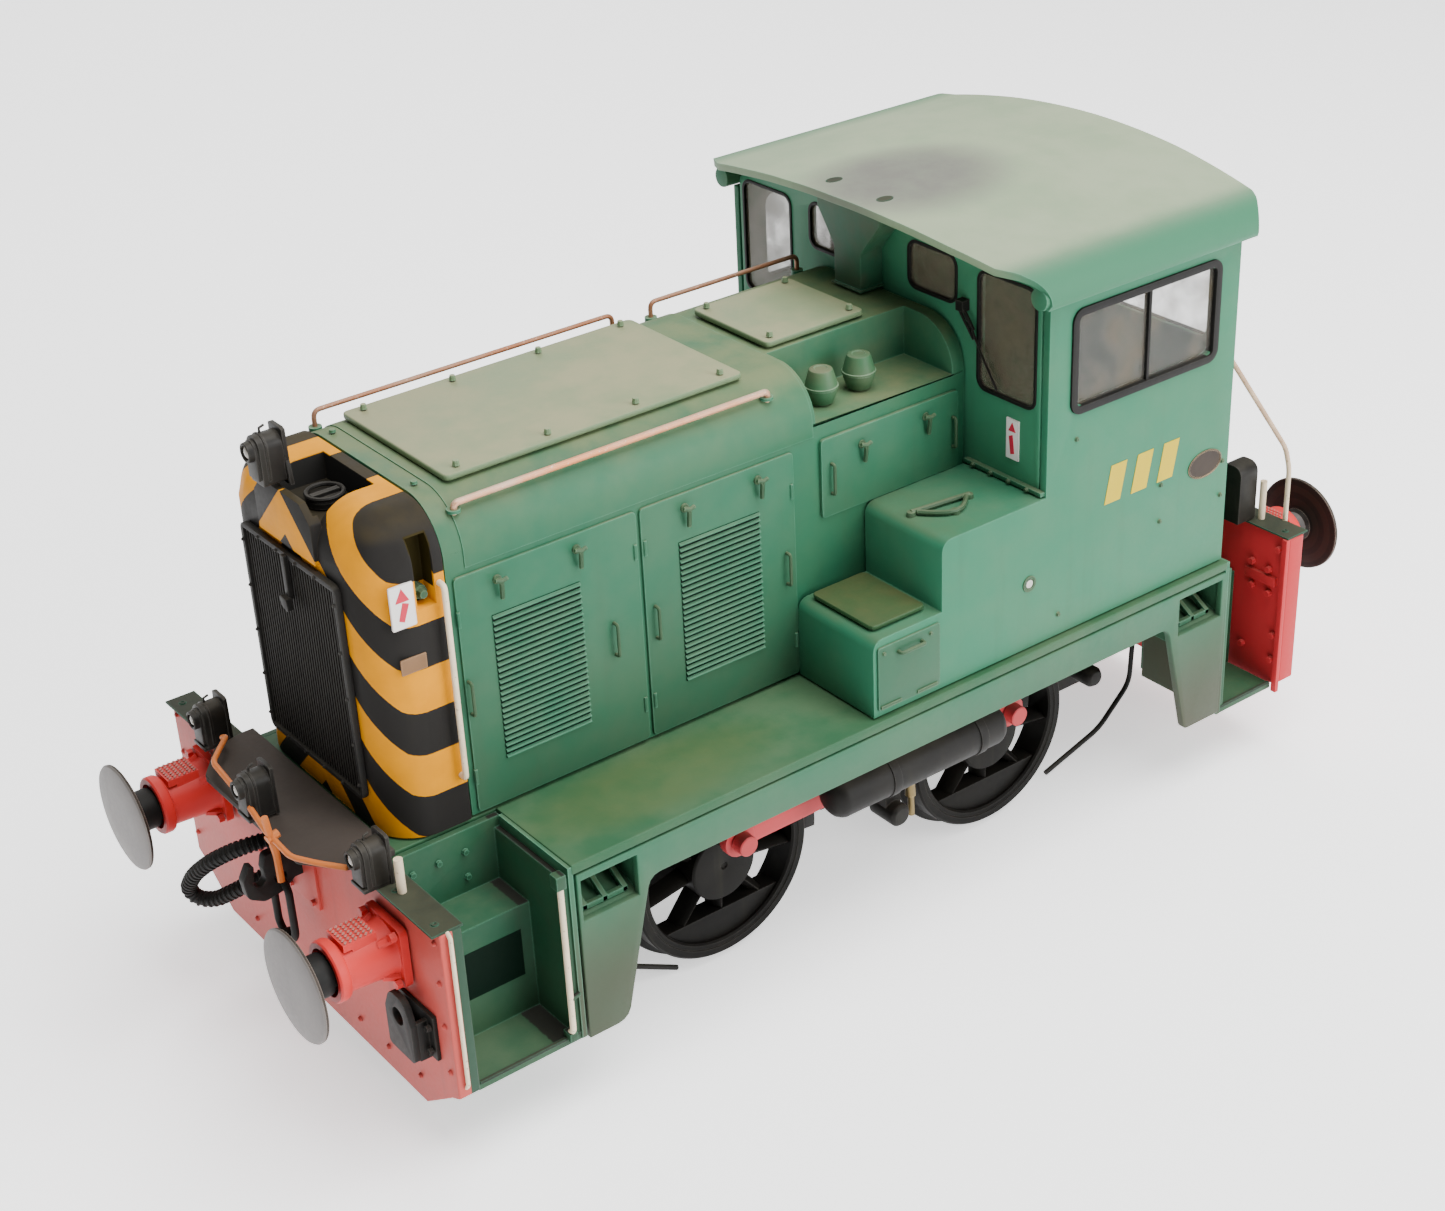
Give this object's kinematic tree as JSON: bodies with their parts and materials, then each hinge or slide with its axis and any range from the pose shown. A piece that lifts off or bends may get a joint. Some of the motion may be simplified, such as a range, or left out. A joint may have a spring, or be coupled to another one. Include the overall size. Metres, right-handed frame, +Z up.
{
  "type": "model diesel shunting locomotive",
  "caption": "Scale model of a small side-rod diesel shunter with radiator bonnet, stepped side lockers, arched cab roof, deep step wells, sprung buffers and coupled spoked wheels.",
  "frame": {"origin": "centre of the bounding box in plan, at the lowest point of the wheel flanges", "axes": "+X towards the cab end, +Y to the far side with the radiator end at -X, +Z up"},
  "size_m": [0.153, 0.06, 0.0813],
  "materials": {
    "body_green": "weathered satin paint",
    "top_olive": "dusty satin paint",
    "wasp_bands": "satin yellow and black bands",
    "chassis_black": "matt black",
    "beam_red": "satin red",
    "beam_faded_red": "faded satin red",
    "window_glass": "dusty clear sheet",
    "buffer_steel": "dull steel",
    "wheel_black": "satin black",
    "rod_red": "satin red",
    "worm_brass": "machined",
    "motor_steel": "plated steel can"
  },
  "bodies": {
    "root": {"hood_shell": "body_green", "exhaust_duct": "body_green", "cab_front": "body_green", "cab_rear": "body_green", "cab_side_near": "body_green", "cab_side_far": "body_green", "running_board": "body_green", "side_skirt_near": "body_green", "side_skirt_far": "body_green", "steps_front_near": "body_green", "steps_front_far": "body_green", "steps_rear_near": "body_green", "steps_rear_far": "body_green", "hood_hatch_front": "top_olive", "hood_hatch_rear": "top_olive", "air_filter_1": "top_olive", "air_filter_2": "top_olive", "locker_lid_near": "top_olive", "locker_lid_far": "top_olive", "cab_roof": "top_olive", "nose_cowl": "wasp_bands", "radiator_grille": "chassis_black", "filler_cap": "chassis_black", "control_desk": "chassis_black", "front_platform": "chassis_black", "lamp_front_near": "chassis_black", "lamp_front_far": "chassis_black", "lamp_front_centre": "chassis_black", "lamp_nose": "chassis_black", "coupling_hook_front": "chassis_black", "coupling_hook_rear": "chassis_black", "brake_pipe": "chassis_black", "chassis_frame": "chassis_black", "air_tank": "chassis_black", "buffer_beam_front": "beam_faded_red", "buffer_beam_rear": "beam_red", "buffer_housing_front_near": "beam_red", "buffer_housing_front_far": "beam_red", "buffer_housing_rear_near": "beam_red", "buffer_housing_rear_far": "beam_red", "glazing_front": "window_glass", "glazing_rear": "window_glass", "glazing_near": "window_glass", "glazing_far": "window_glass", "motor": "motor_steel"},
    "wheelset_front": {"axle_front": "buffer_steel", "wheel_front_near": "wheel_black", "wheel_front_far": "wheel_black"},
    "wheelset_rear": {"axle_rear": "buffer_steel", "wheel_rear_near": "wheel_black", "wheel_rear_far": "wheel_black"},
    "rod_near": {"coupling_rod_near": "rod_red"},
    "rod_far": {"coupling_rod_far": "rod_red"},
    "motor_shaft": {"worm_shaft": "worm_brass"},
    "link_front": {"coupling_link_front": "chassis_black"},
    "link_rear": {"coupling_link_rear": "chassis_black"},
    "buffer_front_near": {"buffer_head_front_near": "buffer_steel"},
    "buffer_front_far": {"buffer_head_front_far": "buffer_steel"},
    "buffer_rear_near": {"buffer_head_rear_near": "buffer_steel"},
    "buffer_rear_far": {"buffer_head_rear_far": "buffer_steel"}
  },
  "joints": [
    {"name": "axle_front_spin", "type": "hinge", "parent": "root", "child": "wheelset_front", "pos_m": [-0.021, 0, 0.0133], "axis": [0, 1, 0], "continuous": true},
    {"name": "axle_rear_spin", "type": "hinge", "parent": "root", "child": "wheelset_rear", "pos_m": [0.021, 0, 0.0133], "axis": [0, 1, 0], "continuous": true},
    {"name": "rod_near_pivot", "type": "hinge", "parent": "wheelset_front", "child": "rod_near", "pos_m": [-0.021, -0.0215, 0.0186], "axis": [0, 1, 0], "continuous": true},
    {"name": "rod_far_pivot", "type": "hinge", "parent": "wheelset_front", "child": "rod_far", "pos_m": [-0.0263, 0.0215, 0.0133], "axis": [0, 1, 0], "continuous": true},
    {"name": "motor_spin", "type": "hinge", "parent": "root", "child": "motor_shaft", "pos_m": [-0.013, 0, 0.0226], "axis": [1, 0, 0], "continuous": true},
    {"name": "buffer_front_near_slide", "type": "slide", "parent": "root", "child": "buffer_front_near", "axis": [1, 0, 0], "range_m": [0, 0.0025], "stiffness_N_per_m": 250, "springref_m": -0.0004},
    {"name": "buffer_front_far_slide", "type": "slide", "parent": "root", "child": "buffer_front_far", "axis": [1, 0, 0], "range_m": [0, 0.0025], "stiffness_N_per_m": 250, "springref_m": -0.0004},
    {"name": "link_front_swing", "type": "hinge", "parent": "root", "child": "link_front", "pos_m": [-0.0674, 0, 0.0237], "axis": [0, 1, 0], "range_deg": [-12, 80]},
    {"name": "buffer_rear_near_slide", "type": "slide", "parent": "root", "child": "buffer_rear_near", "axis": [-1, 0, 0], "range_m": [0, 0.0025], "stiffness_N_per_m": 250, "springref_m": -0.0004},
    {"name": "buffer_rear_far_slide", "type": "slide", "parent": "root", "child": "buffer_rear_far", "axis": [-1, 0, 0], "range_m": [0, 0.0025], "stiffness_N_per_m": 250, "springref_m": -0.0004},
    {"name": "link_rear_swing", "type": "hinge", "parent": "root", "child": "link_rear", "pos_m": [0.0674, 0, 0.0237], "axis": [0, -1, 0], "range_deg": [-12, 80]}
  ],
  "couplings": [
    {"joint": "axle_rear_spin", "follows": "axle_front_spin", "ratio": 1},
    {"joint": "rod_near_pivot", "follows": "axle_front_spin", "ratio": -1},
    {"joint": "rod_far_pivot", "follows": "axle_front_spin", "ratio": -1},
    {"joint": "motor_spin", "follows": "axle_front_spin", "ratio": 30}
  ]
}
